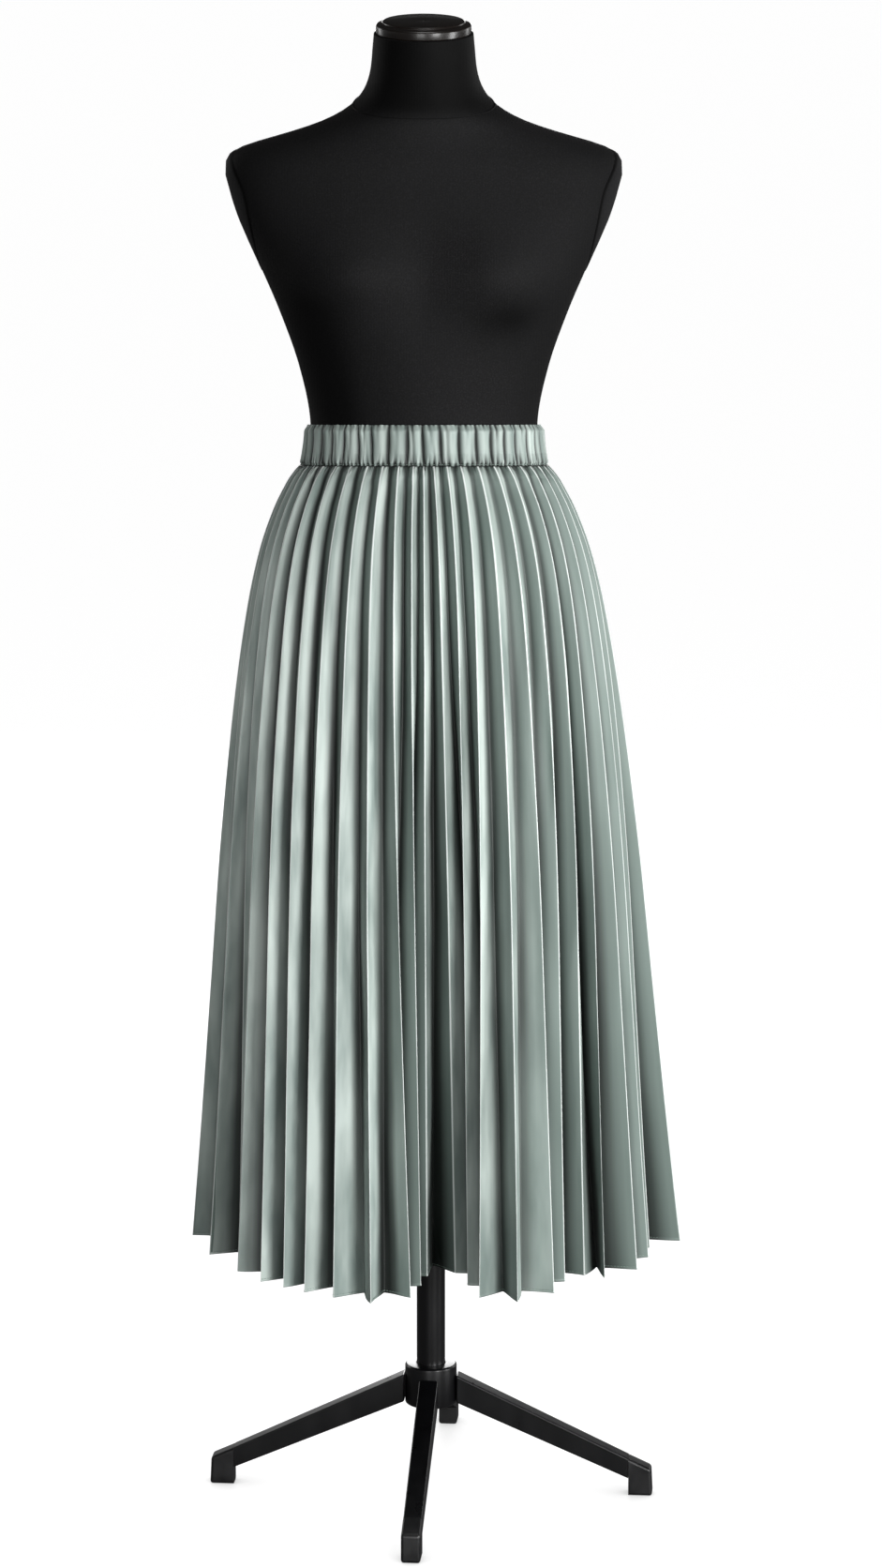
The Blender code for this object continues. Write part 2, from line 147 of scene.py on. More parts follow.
# Front ridges, left to right: degrees round at the seam and at the hem, set-back at the hem in mm
FRONT_RIDGES = (
    (-86.0, -93.4, 0),
    (-79.5, -83.5, 24),
    (-73.0, -73.3, 11),
    (-66.5, -64.0, 30),
    (-60.0, -55.2, 9),
    (-52.0, -44.2, 1),
    (-43.5, -36.9, -1),
    (-34.5, -30.6, -5),
    (-26.0, -22.9, -10),
    (-18.5, -13.7, -19),
    (-11.0, -5.6, 6),
    (-4.5, -3.8, 47),
    (0.0, -2.5, 79),
    (4.5, 6.4, 90),
    (10.5, 8.5, 47),
    (17.0, 9.9, 4),
    (25.0, 17.6, -18),
    (33.5, 27.7, -2),
    (41.5, 34.9, 28),
    (49.5, 42.6, 34),
    (57.0, 45.0, 14),
    (64.5, 57.1, 10),
    (72.0, 69.5, 21),
    (79.0, 79.5, 29),
    (86.0, 87.9, 0),
)
PLEATS = len(FRONT_RIDGES) + BACK_RIDGES

# Large folds of the back: degrees round, half width, depth in mm
BACK_FOLDS = (
    (124.0, 15.0, 26),
    (166.0, 19.0, 52),
    (211.0, 14.0, 24),
    (243.0, 17.0, 38),
)

# Form sections: height, half width, half depth in front, half depth behind, squareness, centre Y
FORM_SECTIONS = (
    (0.7900, 0.1050, 0.0700, 0.0760, 2.0, 0.000),
    (0.7930, 0.1230, 0.0830, 0.0900, 2.0, 0.000),
    (0.8030, 0.1380, 0.0950, 0.1030, 2.1, 0.000),
    (0.8300, 0.1500, 0.1040, 0.1140, 2.1, 0.000),
    (0.8900, 0.1580, 0.1110, 0.1230, 2.1, 0.000),
    (0.9500, 0.1510, 0.1075, 0.1180, 2.1, 0.000),
    (1.0100, 0.1320, 0.0965, 0.1010, 2.1, 0.000),
    (1.0550, 0.1168, 0.0862, 0.0840, 2.0, 0.000),
    (1.1000, 0.1120, 0.0830, 0.0800, 2.0, 0.000),
    (1.1560, 0.1227, 0.0890, 0.0840, 2.1, 0.000),
    (1.2100, 0.1414, 0.0960, 0.0920, 2.2, 0.000),
    (1.2550, 0.1605, 0.1000, 0.0980, 2.3, 0.001),
    (1.3000, 0.1803, 0.0910, 0.0960, 2.5, 0.004),
    (1.3350, 0.1915, 0.0800, 0.0860, 2.6, 0.008),
    (1.3480, 0.1938, 0.0760, 0.0800, 2.6, 0.009),
    (1.3574, 0.1922, 0.0728, 0.0745, 2.5, 0.009),
    (1.3640, 0.1875, 0.0702, 0.0705, 2.4, 0.009),
    (1.3710, 0.1740, 0.0675, 0.0665, 2.2, 0.009),
    (1.3780, 0.1510, 0.0650, 0.0635, 2.1, 0.008),
    (1.3860, 0.1240, 0.0620, 0.0610, 2.0, 0.006),
    (1.3940, 0.1010, 0.0588, 0.0595, 2.0, 0.003),
    (1.4030, 0.0820, 0.0560, 0.0580, 2.0, 0.000),
    (1.4130, 0.0680, 0.0540, 0.0560, 2.0, -0.002),
    (1.4260, 0.0580, 0.0518, 0.0542, 2.0, -0.005),
    (1.4430, 0.0522, 0.0502, 0.0520, 2.0, -0.008),
    (1.4700, 0.0493, 0.0492, 0.0492, 2.0, -0.011),
    (1.4795, 0.0484, 0.0484, 0.0484, 2.0, -0.012),
)
FORM_COLUMNS = 160
FORM_RING_STEP = 0.0050
BUST_X = 0.082
BUST_Z = 1.250
BUST_WIDTH = 0.055
BUST_HEIGHT = 0.050
BUST_RISE = 0.022
NECK_TILT = radians(8)
NECK_TILT_FROM = 1.386
NECK_TILT_FULL = 1.426

BASE_RINGS = (0.0012, 0.0030)  # extra rings where the base rounds off
SOCKET_CLEARANCE = 0.0005

# Painted light on the jersey is strongest at this turn, and painted shade lies in a spot under each side of
# the bust: turn and height
LIT_TURN = 0.22
SHADE_UNDER_BUST = ((-0.90, 1.220), (0.62, 1.210))
SPOT_TURN = 0.28
SPOT_HEIGHT = 0.018

# Seam round the neck, lower in front
NECK_SEAM_Z = 1.4125
NECK_SEAM_DIP = 0.0100
SEAM_HALF_WIDTH = 0.0014
SEAM_RISE = 0.00035
SEAM_STEPS = 120
# Its section: across in half widths, out in rises, how much painted light beside the jersey round it, with
# painted shade in the groove and a painted highlight on one ridge
SEAM_PROFILE = ((-1.0, -0.3, 1.0), (-0.55, 1.0, 0.9), (0.0, 0.1, -0.5), (0.55, 1.0, 1.4), (1.0, -0.3, 1.0))

# Armhole plates: an oval on each side of the form
PLATE_Z = 1.307
PLATE_Y = 0.008
PLATE_HALF_HEIGHT = 0.060
PLATE_HALF_WIDTH = 0.048
PLATE_RISE = 0.0007
PLATE_STEPS = 64
# From its middle to its rim: share of its size, share of its rise, how much painted light, with painted
# shade at the rim
PLATE_PROFILE = (
    (0.02, 1.0, 1.0),
    (0.30, 1.0, 1.0),
    (0.60, 1.0, 1.0),
    (0.82, 1.0, 1.0),
    (0.93, 1.0, 0.8),
    (0.975, 0.85, 0.0),
    (1.0, -0.1, 0.0),
)

# Waistband, measured out from the form
BAND_CLEARANCE = 0.0005
BAND_THICKNESS = 0.0026
GATHER_DEPTH = 0.0050
TUBES = 43  # of the gathered casing, round the waist
TUCKS_A_PLEAT = 3  # small tucks, close to the seam
BAND_COLUMNS = 32  # to each tube
BAND_ROWS = 30
BAND_SIDE_SHADE = 0.3  # a fixed share of the painted side shade, as its folds turn both ways
BAND_CREASE_SHADE = 0.97  # painted shade in its creases
TUBE_SHIFT = 0.16  # of a tube's width, to either side
TUBE_LEAN = 0.022
TUBE_FULLNESS = (0.88, 1.06)
END_TUCK_PLACE = (0.28, 0.72)
END_TUCK_DEPTH = (0.35, 0.80)
END_TUCK_REACH = (0.10, 0.50)
END_TUCK_WIDTH = 0.10  # of a tube's width

# Neck cap, turned: radius and height over the neck's top
CAP_PROFILE = (
    (0.0000, 0.0117),
    (0.0009, 0.0117),
    (0.0014, 0.0124),
    (0.0386, 0.0124),
    (0.0398, 0.0118),
    (0.0402, 0.0106),
    (0.0415, 0.0100),
    (0.0452, 0.0093),
    (0.0465, 0.0079),
    (0.0465, 0.0011),
    (0.0457, 0.0003),
    (0.0000, 0.0003),
)

# Stand
POLE_RADIUS = 0.0145
HUB_RADIUS = 0.0264
HUB_EDGE = 0.0015
BASE_TURN = radians(-5)
LEG_NAMES = ("right", "back", "left", "front")
LEG_START = 0.0267
LEG_END = 0.2032
LEG_Z_START = (0.0940, 0.1231)
LEG_Z_END = (0.0180, 0.0392)
LEG_WIDTH = (0.0195, 0.0186)
LEG_EDGE = 0.0016
FOOT_START = 0.2035
FOOT_END = 0.2280
FOOT_TOP_END = 0.2266
FOOT_Z_START = (0.0, 0.0390)
FOOT_Z_END = (0.0, 0.0286)
FOOT_WIDTH = (0.0194, 0.0194)
FOOT_EDGE = 0.0030
HUB_SOCKET_FLOOR = 0.008
HUB_SOCKET_GAP = 0.0003
TURNED_STEPS = 128
TURNED_EDGE = 0.0005
POLE_STEPS = 96
POLE_EDGE = 0.0006

# Studio lights: name, place, target, width and height, watts
LIGHTS = (
    ("key", (2.4, -4.1, 1.3), (0.0, 0.0, 0.58), (1.5, 2.6), 190),
    ("side", (3.7, -1.0, 0.7), (0.0, 0.0, 0.45), (1.0, 1.6), 78),
    ("fill", (-0.5, -4.4, 0.7), (0.05, 0.0, 0.36), (1.4, 1.6), 46),
    ("top", (0.1, -0.5, 3.8), (0.0, 0.0, 0.0), (0.9, 0.9), 15),
    ("rim_right", (2.6, 2.2, 1.9), (0.0, 0.0, 0.85), (0.7, 2.0), 16),
    ("rim_left", (-2.6, 2.2, 1.9), (0.0, 0.0, 0.85), (0.7, 2.0), 16),
    ("back", (0.0, 4.2, 1.1), (0.0, 0.0, 0.65), (1.6, 1.6), 60),
)
FLOOR_RADIUS = 90.0


# Materials

def linear(code):
    """A Blender colour from an sRGB hex value."""
    values = [int(code[i:i + 2], 16) / 255 for i in (1, 3, 5)]
    return tuple(v / 12.92 if v <= 0.04045 else ((v + 0.055) / 1.055) ** 2.4 for v in values) + (1.0,)


def feed(tree, node, inputs):
    """Give inputs, by name or number, a value, a socket or a node whose first output they take."""
    for key, value in inputs.items():
        if isinstance(value, bpy.types.Node):
            value = value.outputs[0]
        if isinstance(value, bpy.types.NodeSocket):
            tree.links.new(value, node.inputs[key])
        else:
            node.inputs[key].default_value = value


def add(tree, kind, inputs=None, **settings):
    """Add a node with its settings and what feeds its inputs."""
    node = tree.nodes.new(kind)
    for key, value in settings.items():
        setattr(node, key, value)
    feed(tree, node, inputs or {})
    return node


def new_material(name):
    """A new material, its node tree, its shader and the object's own coordinates."""
    made = bpy.data.materials.new(name)
    made.use_nodes = True
    tree = made.node_tree
    place = add(tree, "ShaderNodeTexCoord").outputs["Object"]
    return made, tree, tree.nodes["Principled BSDF"], place


def satin_material():
    """Polyester satin, heat-pressed: long floats of bright thread give a soft broad shine along the
    pleats. Its tone drifts from place to place in blotches that also paint in soft sheen, with painted
    shade down in the pleats and on the faces folded the other way, and a painted highlight on the pressed
    edges."""
    made, tree, shader, _ = new_material("polyester_satin_pressed")
    cloth = add(tree, "ShaderNodeAttribute", attribute_name="cloth").outputs["Vector"]
    depth = add(tree, "ShaderNodeAttribute", attribute_name="depth").outputs["Fac"]
    side_shade = add(tree, "ShaderNodeAttribute", attribute_name="side_shade").outputs["Fac"]
    pressed = add(tree, "ShaderNodeAttribute", attribute_name="pressed").outputs["Fac"]
    # Blotches of random tone, which also paint in soft sheen
    drift_place = add(tree, "ShaderNodeMapping", {0: cloth, 3: (40, 7, 0)})
    drift = add(tree, "ShaderNodeTexNoise", {"Vector": drift_place, "Scale": 1.0, "Detail": 3.0})
    sheen_blotch = add(tree, "ShaderNodeMapRange", {0: drift, 1: 0.34, 2: 0.66, 3: 0.0, 4: 1.0})
    tone = add(tree, "ShaderNodeMix", {0: sheen_blotch, 6: linear("#879691"), 7: linear("#c6d2cc")},
               data_type="RGBA")
    # Painted shade: the faces folded the other way are drawn deeper than those turned right
    side_shaded_tone = add(tree, "ShaderNodeMix", {0: side_shade, 6: tone.outputs[2], 7: linear("#73827c")},
                      data_type="RGBA")
    # Painted shade down in the pleats and creases and by the waist seam, from the depth attribute
    painted_shade_tone = add(tree, "ShaderNodeMix", {0: depth, 6: side_shaded_tone.outputs[2], 7: linear("#0a120e")},
               data_type="RGBA")
    # Painted highlight along the pressed ridges
    edge = add(tree, "ShaderNodeMix", {0: pressed, 6: painted_shade_tone.outputs[2], 7: linear("#f2f8f5")},
               data_type="RGBA")
    # Floats lie 0.25 mm apart, drawn here every 0.9 mm so that they show
    float_place = add(tree, "ShaderNodeMapping", {0: cloth, 3: (1100, 120, 0)})
    floats = add(tree, "ShaderNodeTexNoise", {"Vector": float_place, "Scale": 1.0, "Detail": 1.0})
    ripple_place = add(tree, "ShaderNodeMapping", {0: cloth, 3: (30, 8, 0)})
    ripple = add(tree, "ShaderNodeTexNoise", {"Vector": ripple_place, "Scale": 1.0, "Detail": 2.0})
    soft = add(tree, "ShaderNodeBump", {0: 0.3, 1: 0.0018, "Height": ripple})
    # Small tucks crowd together for 12 mm on both sides of the waist seam
    from_seam = add(tree, "ShaderNodeSeparateXYZ", {0: cloth}).outputs[1]
    near_seam = add(tree, "ShaderNodeMapRange", {0: from_seam, 1: 0.0, 2: 0.012, 3: 1.0, 4: 0.0})
    tuck_place = add(tree, "ShaderNodeMapping", {0: cloth, 3: (260, 40, 0)})
    tucks = add(tree, "ShaderNodeTexNoise", {"Vector": tuck_place, "Scale": 1.0, "Detail": 1.0})
    tucked = add(tree, "ShaderNodeMath", {0: tucks, 1: near_seam}, operation="MULTIPLY")
    puckered = add(tree, "ShaderNodeBump", {0: 0.7, 1: 0.0040, "Height": tucked, "Normal": soft})
    fine = add(tree, "ShaderNodeBump", {0: 0.4, 1: 0.00006, "Height": floats, "Normal": puckered})
    shine = add(tree, "ShaderNodeMapRange", {0: ripple, 1: 0.3, 2: 0.7, 3: 0.46, 4: 0.60})
    round_pole = add(tree, "ShaderNodeTangent", direction_type="RADIAL", axis="Z")
    feed(tree, shader, {
        "Base Color": edge.outputs[2],
        "Roughness": shine,
        "Normal": fine,
        "Tangent": round_pole,
        "Metallic": 0.10,
        "IOR": 1.54,
        "Anisotropic": 0.5,
        "Sheen Weight": 0.05,
        "Sheen Roughness": 0.4,
        "Sheen Tint": linear("#dfe8e4"),
    })
    return made


def thread_material():
    """Polyester sewing thread, spun: duller than the satin and a shade deeper."""
    made, tree, shader, place = new_material("sewing_thread_spun_polyester")
    twist = add(tree, "ShaderNodeTexNoise", {"Vector": place, "Scale": 900.0, "Detail": 1.0})
    tone = add(tree, "ShaderNodeMix", {0: twist, 6: linear("#5f736a"), 7: linear("#8fa298")},
               data_type="RGBA")
    fibre = add(tree, "ShaderNodeBump", {0: 0.6, 1: 0.0001, "Height": twist})
    feed(tree, shader, {"Base Color": tone.outputs[2], "Normal": fibre, "Roughness": 0.62})
    return made


def jersey_material():
    """Fine cotton jersey stretched over padding: nearly black and dull, mottled by wear and flecked with
    lint, with painted light on the chest, painted shade on the neck, the sides and under the bust, and a
    faint nap that pales where the cloth turns away."""
    made, tree, shader, place = new_material("cotton_jersey_fine_knit")
    wear = add(tree, "ShaderNodeTexNoise", {"Vector": place, "Scale": 9.0, "Detail": 4.0})
    lint = add(tree, "ShaderNodeTexNoise", {"Vector": place, "Scale": 700.0, "Detail": 2.0})
    # Wales lie 0.7 mm apart, drawn here every 2.6 mm so that they show
    wales = add(tree, "ShaderNodeTexWave",
                {"Vector": place, "Scale": 120.0, "Distortion": 1.5, "Detail": 1.0},
                wave_type="BANDS", bands_direction="X")
    painted_light = add(tree, "ShaderNodeAttribute", attribute_name="painted_light").outputs["Fac"]
    worn = add(tree, "ShaderNodeMix", {0: wear, 6: linear("#121212"), 7: linear("#1f1f20")},
               data_type="RGBA")
    speck = add(tree, "ShaderNodeMapRange", {0: lint, 1: 0.45, 2: 0.75, 3: 0.0, 4: 0.5})
    fleck = add(tree, "ShaderNodeMix", {0: speck, 6: worn.outputs[2], 7: linear("#282829")},
                data_type="RGBA")
    # Painted light and shade: near black where the form is shaded, lighter where it is lit
    tone = add(tree, "ShaderNodeMix", {0: painted_light, 6: linear("#030303"), 7: fleck.outputs[2]},
               data_type="RGBA")
    dull = add(tree, "ShaderNodeMapRange", {0: wear, 1: 0.3, 2: 0.7, 3: 0.62, 4: 0.78})
    knit = add(tree, "ShaderNodeBump", {0: 0.35, 1: 0.00012, "Height": wales})
    nap = add(tree, "ShaderNodeBump", {0: 0.35, 1: 0.00015, "Height": lint, "Normal": knit})
    feed(tree, shader, {
        "Base Color": tone.outputs[2],
        "Roughness": dull,
        "Normal": nap,
        "Specular IOR Level": 0.07,
        "Sheen Weight": 0.03,
        "Sheen Roughness": 0.35,
        "Sheen Tint": linear("#b8b2b6"),
    })
    return made


def lacquer_material():
    """Turned wood under black lacquer: deep and glossy, with slow ripples and fine dust in the coat."""
    made, tree, shader, place = new_material("black_lacquer_on_turned_wood")
    ripple = add(tree, "ShaderNodeTexNoise", {"Vector": place, "Scale": 60.0, "Detail": 1.0})
    dust = add(tree, "ShaderNodeTexNoise", {"Vector": place, "Scale": 1500.0, "Detail": 1.0})
    tone = add(tree, "ShaderNodeMix", {0: ripple, 6: linear("#0c0908"), 7: linear("#1a1512")},
               data_type="RGBA")
    gloss = add(tree, "ShaderNodeMapRange", {0: dust, 1: 0.3, 2: 0.7, 3: 0.26, 4: 0.36})
    waves = add(tree, "ShaderNodeBump", {0: 0.15, 1: 0.0003, "Height": ripple})
    feed(tree, shader, {
        "Base Color": tone.outputs[2],
        "Roughness": gloss,
        "Normal": waves,
        "IOR": 1.45,
        "Coat Weight": 0.15,
        "Coat Roughness": 0.12,
    })
    return made


def powder_coat_material():
    """Steel under black powder coat: satin, with the fine grain that the powder melts into."""
    made, tree, shader, place = new_material("powder_coated_steel_black")
    grain = add(tree, "ShaderNodeTexNoise", {"Vector": place, "Scale": 1400.0, "Detail": 2.0})
    scuff_place = add(tree, "ShaderNodeMapping", {0: place, 3: (60, 60, 18)})
    scuff = add(tree, "ShaderNodeTexNoise", {"Vector": scuff_place, "Scale": 1.0, "Detail": 4.0})
    tone = add(tree, "ShaderNodeMix", {0: scuff, 6: linear("#040405"), 7: linear("#0c0c0e")},
               data_type="RGBA")
    gloss = add(tree, "ShaderNodeMapRange", {0: scuff, 1: 0.3, 2: 0.7, 3: 0.27, 4: 0.32})
    pits = add(tree, "ShaderNodeBump", {0: 0.3, 1: 0.00005, "Height": grain})
    feed(tree, shader, {"Base Color": tone.outputs[2], "Roughness": gloss, "Normal": pits, "IOR": 1.5})
    return made


def moulded_plastic_material():
    """Injection-moulded ABS: black with a fine spark-eroded texture, rubbed smoother in places."""
    made, tree, shader, place = new_material("abs_moulded_black")
    texture = add(tree, "ShaderNodeTexVoronoi", {"Vector": place, "Scale": 1600.0})
    rubbed = add(tree, "ShaderNodeTexNoise", {"Vector": place, "Scale": 55.0, "Detail": 3.0})
    tone = add(tree, "ShaderNodeMix", {0: rubbed, 6: linear("#040405"), 7: linear("#0c0c0e")},
               data_type="RGBA")
    gloss = add(tree, "ShaderNodeMapRange", {0: rubbed, 1: 0.3, 2: 0.7, 3: 0.30, 4: 0.48})
    pits = add(tree, "ShaderNodeBump", {0: 0.4, 1: 0.00006, "Height": texture})
    feed(tree, shader, {"Base Color": tone.outputs[2], "Roughness": gloss, "Normal": pits, "IOR": 1.54})
    return made


def floor_material():
    """White studio sweep, matt painted and lit from within, a little darker by painted shade where feet
    stand on it.
    """
    made, tree, shader, place = new_material("studio_floor_matt_white")
    mottle = add(tree, "ShaderNodeTexNoise", {"Vector": place, "Scale": 1.2, "Detail": 3.0})
    tone = add(tree, "ShaderNodeMix", {0: mottle, 6: linear("#707070"), 7: linear("#7c7c7c")},
               data_type="RGBA")
    # Painted shade close round whatever stands on the floor, from ambient occlusion
    open_sky = add(tree, "ShaderNodeAmbientOcclusion", {"Distance": 0.11}, samples=12).outputs["AO"]
    glow = add(tree, "ShaderNodeMapRange", {0: open_sky, 1: 0.2, 2: 0.90, 3: 0.45, 4: 0.97})
    feed(tree, shader, {
        "Base Color": tone.outputs[2],
        "Roughness": 0.7,
        "Specular IOR Level": 0.2,
        "Emission Color": glow,
        "Emission Strength": 1.0,
    })
    return made


# Shape helpers

def share(low, high, value):
    """How far value lies from low to high, held between 0 and 1."""
    return min(1.0, max(0.0, (value - low) / (high - low)))


def eased(low, high, value):
    """As share, with a soft start and end."""
    part = share(low, high, value)
    return part * part * (3.0 - 2.0 * part)


def row_at(table, height):
    """The columns of a table at a height, on a smooth curve through its rows."""
    rows = sorted(table)
    height = min(max(height, rows[0][0]), rows[-1][0])
    index = 0
    while index < len(rows) - 2 and height > rows[index + 1][0]:
        index += 1
    before = rows[max(index - 1, 0)]
    start = rows[index]
    end = rows[index + 1]
    after = rows[min(index + 2, len(rows) - 1)]
    span = end[0] - start[0]
    t = (height - start[0]) / span
    values = []
    for column in range(1, len(start)):
        slope_start = (end[column] - before[column]) / (end[0] - before[0]) * span
        slope_end = (after[column] - start[column]) / (after[0] - start[0]) * span
        values.append(
            (2 * t**3 - 3 * t**2 + 1) * start[column]
            + (t**3 - 2 * t**2 + t) * slope_start
            + (3 * t**2 - 2 * t**3) * end[column]
            + (t**3 - t**2) * slope_end
        )
    return values


def grid_mesh(name, rows, closed=False, attributes=None, flip=False):
    """A smooth mesh through rows of points, joined round where closed. attributes holds, by name,
    rows of numbers or vectors, one for each point."""
    columns = len(rows[0])
    points = [point for row in rows for point in row]
    faces = []
    for i in range(len(rows) - 1):
        for j in range(columns if closed else columns - 1):
            k = (j + 1) % columns
            face = (i * columns + j, i * columns + k, (i + 1) * columns + k, (i + 1) * columns + j)
            faces.append(face[::-1] if flip else face)
    mesh = bpy.data.meshes.new(name)
    mesh.from_pydata(points, [], faces)
    mesh.shade_smooth()
    for key, values in (attributes or {}).items():
        flat = [value for row in values for value in row]
        if isinstance(flat[0], float):
            mesh.attributes.new(key, "FLOAT", "POINT").data.foreach_set("value", flat)
        else:
            parts = [part for value in flat for part in value]
            mesh.attributes.new(key, "FLOAT_VECTOR", "POINT").data.foreach_set("vector", parts)
    return mesh


def add_piece(name, mesh, finish, body, slot, *nodes):
    """Put a mesh in the scene as a piece that rides on a body and stands for CAD nodes."""
    piece = bpy.data.objects.new(name, mesh)
    mesh.materials.append(finish)
    bpy.context.scene.collection.objects.link(piece)
    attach(piece, body)
    if nodes:
        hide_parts(*nodes)
    return piece


# The form

def form_point(height, turn, grow=0.0):
    """A point of the form's surface. turn is 0 in front and a quarter turn at +X."""
    half_width, front, behind, squareness, centre_y = row_at(FORM_SECTIONS, height)
    across = sin(turn)
    ahead = cos(turn)
    power = 2.0 / squareness
    depth = front if ahead > 0 else behind
    x = (half_width + grow) * copysign(abs(across) ** power, across)
    y = centre_y - (depth + grow) * copysign(abs(ahead) ** power, ahead)
    if ahead > 0:
        aside = (abs(x) - BUST_X) / BUST_WIDTH
        above = (height - BUST_Z) / BUST_HEIGHT
        y -= BUST_RISE * exp(-aside * aside - above * above) * min(1.0, 3.0 * ahead)
    z = height + (y - centre_y) * tan(NECK_TILT) * eased(NECK_TILT_FROM, NECK_TILT_FULL, height)
    return Vector((FORM_X + x, y, z))


def turn_at_depth(height, y, side):
    """The turn where a side of the form has that Y."""
    _, front, behind, squareness, centre_y = row_at(FORM_SECTIONS, height)
    depth = front if y < centre_y else behind
    part = min(1.0, abs(y - centre_y) / depth) ** (squareness / 2)
    return side * acos(part if y < centre_y else -part)


def turn_from_front(turn):
    """A turn held within half a turn to each side of the front."""
    return (turn + pi) % tau - pi


def painted_light_at(height, turn):
    """How much painted light the jersey takes: most on the chest, least on the neck, the sides and under
    the bust, and less on the whole left side below the bust, where painted shade lies."""
    turn = turn_from_front(turn)
    chest = 1.0 - eased(NECK_SEAM_Z - 0.020, NECK_SEAM_Z + 0.008, height)
    painted_light = chest * max(0.0, cos(0.85 * (turn - LIT_TURN))) ** 1.6
    # Painted shade in a spot under each side of the bust
    for spot_turn, spot_z in SHADE_UNDER_BUST:
        aside = (turn - spot_turn) / SPOT_TURN
        above = (height - spot_z) / SPOT_HEIGHT
        painted_light *= 1.0 - 0.75 * exp(-aside ** 2 - above ** 2)
    # Painted shade on the whole left side below the bust
    low_on_left = eased(0.45, 0.75, -turn) * (1.0 - eased(1.190, 1.240, height))
    painted_light *= 1.0 - 0.70 * low_on_left
    return 0.08 + 0.92 * painted_light


def form_mesh():
    """The form, closed by its flat base and the top of its neck."""
    turns = [tau * i / FORM_COLUMNS for i in range(FORM_COLUMNS)]
    low = FORM_SECTIONS[0][0]
    high = FORM_SECTIONS[-1][0]
    count = round((high - low) / FORM_RING_STEP)
    heights = [low + (high - low) * i / count for i in range(count + 1)]
    heights[1:1] = [low + ring for ring in BASE_RINGS]
    rows = [[form_point(z, t) for t in turns] for z in heights]
    socket = POLE_RADIUS + SOCKET_CLEARANCE
    rows.insert(0, [Vector((socket * sin(t), -socket * cos(t), low)) for t in turns])
    heights.insert(0, low)
    painted_light = [[painted_light_at(z, t) for t in turns] for z in heights]
    mesh = grid_mesh("form_jersey", rows, closed=True, attributes={"painted_light": painted_light})
    shape = bmesh.new()
    shape.from_mesh(mesh)
    rims = [edge for edge in shape.edges if edge.is_boundary]
    bmesh.ops.holes_fill(shape, edges=[e for e in rims if e.verts[0].co.z > PLATE_Z], sides=0)
    shape.to_mesh(mesh)
    shape.free()
    mesh.set_sharp_from_angle(angle=radians(50))
    return mesh


def neck_seam_mesh():
    """The sewn seam round the neck: two low ridges with a groove between them."""
    turns = [tau * i / SEAM_STEPS for i in range(SEAM_STEPS)]
    path = [(NECK_SEAM_Z - NECK_SEAM_DIP * cos(t), t) for t in turns]
    centre = [form_point(z, t) for z, t in path]
    outer = [form_point(z, t, 0.002) for z, t in path]
    rows, painted_light = [], []
    for i in range(SEAM_STEPS):
        along = (centre[(i + 1) % SEAM_STEPS] - centre[i - 1]).normalized()
        out = (outer[i] - centre[i]).normalized()
        aside = along.cross(out).normalized()
        rows.append([
            centre[i] + aside * SEAM_HALF_WIDTH * step + out * SEAM_RISE * rise
            for step, rise, _ in SEAM_PROFILE
        ])
        # Painted shade in the groove and a painted highlight on one ridge
        painted_light.append([max(0.0, painted_light_at(*path[i]) * seam_light) for _, _, seam_light in SEAM_PROFILE])
    rows.append(rows[0])
    painted_light.append(painted_light[0])
    return grid_mesh("neck_seam", rows, attributes={"painted_light": painted_light})


def plate_mesh(side):
    """An armhole plate: a shallow disc over the side of the form, with a rounded rim."""
    rows, painted_light = [], []
    for reach, rise, plate_light in PLATE_PROFILE:
        row = []
        for i in range(PLATE_STEPS):
            angle = tau * i / PLATE_STEPS
            z = PLATE_Z + PLATE_HALF_HEIGHT * reach * cos(angle)
            y = PLATE_Y + PLATE_HALF_WIDTH * reach * sin(angle)
            row.append(form_point(z, turn_at_depth(z, y, side), PLATE_RISE * rise))
        rows.append(row)
        # Painted light over the plate, painted shade at its rim
        painted_light.append([plate_light] * PLATE_STEPS)
    return grid_mesh("armhole_plate", rows, closed=True, attributes={"painted_light": painted_light}, flip=side > 0)


def build_form(jersey):
    """The jersey-covered form, its armhole plates and the seam round its neck."""
    add_piece("form_jersey", form_mesh(), jersey, "form", "jersey", "form")
    for side, word in ((-1, "left"), (1, "right")):
        add_piece("armhole_plate_" + word, plate_mesh(side), jersey, "form", "jersey")
    add_piece("neck_seam", neck_seam_mesh(), jersey, "form", "jersey")


# The skirt

def ridge_lines():
    """Each ridge as its turn at the seam, its turn at the hem and its set-back at the hem."""
    lines = [
        (radians(seam), radians(hem), set_back / 1000)
        for seam, hem, set_back in FRONT_RIDGES
    ]
    first_seam, first_hem, _ = lines[0]
    last_seam, last_hem, _ = lines[-1]
    for i in range(1, BACK_RIDGES + 1):
        part = i / (BACK_RIDGES + 1)
        seam = last_seam + (first_seam + tau - last_seam) * part
        hem = last_hem + (first_hem + tau - last_hem) * part
        hem += BACK_UNEVEN * sin(2.4 * i)
        set_back = 0.0
        for centre, reach, depth in BACK_FOLDS:
            away = abs(degrees(hem) - centre) / reach
            if away < 1.0:
                set_back += depth / 1000 * cos(away * pi / 2) ** 2
        lines.append((seam, hem, set_back))
    return lines


def ellipse_point(level, turn):
    """A point of the skirt's outline, and the direction from there towards the form."""
    height = SEAM_Z + (HEM_Z - SEAM_Z) * level
    half_width, front, behind = row_at(SKIRT_OUTLINE, height)
    depth = front if cos(turn) > 0 else behind
    centre = FORM_X + (HEM_X - FORM_X) * level
    point = Vector((centre + half_width * sin(turn), -depth * cos(turn)))
    inward = Vector((-sin(turn) / half_width, cos(turn) / depth)).normalized()
    return point, inward


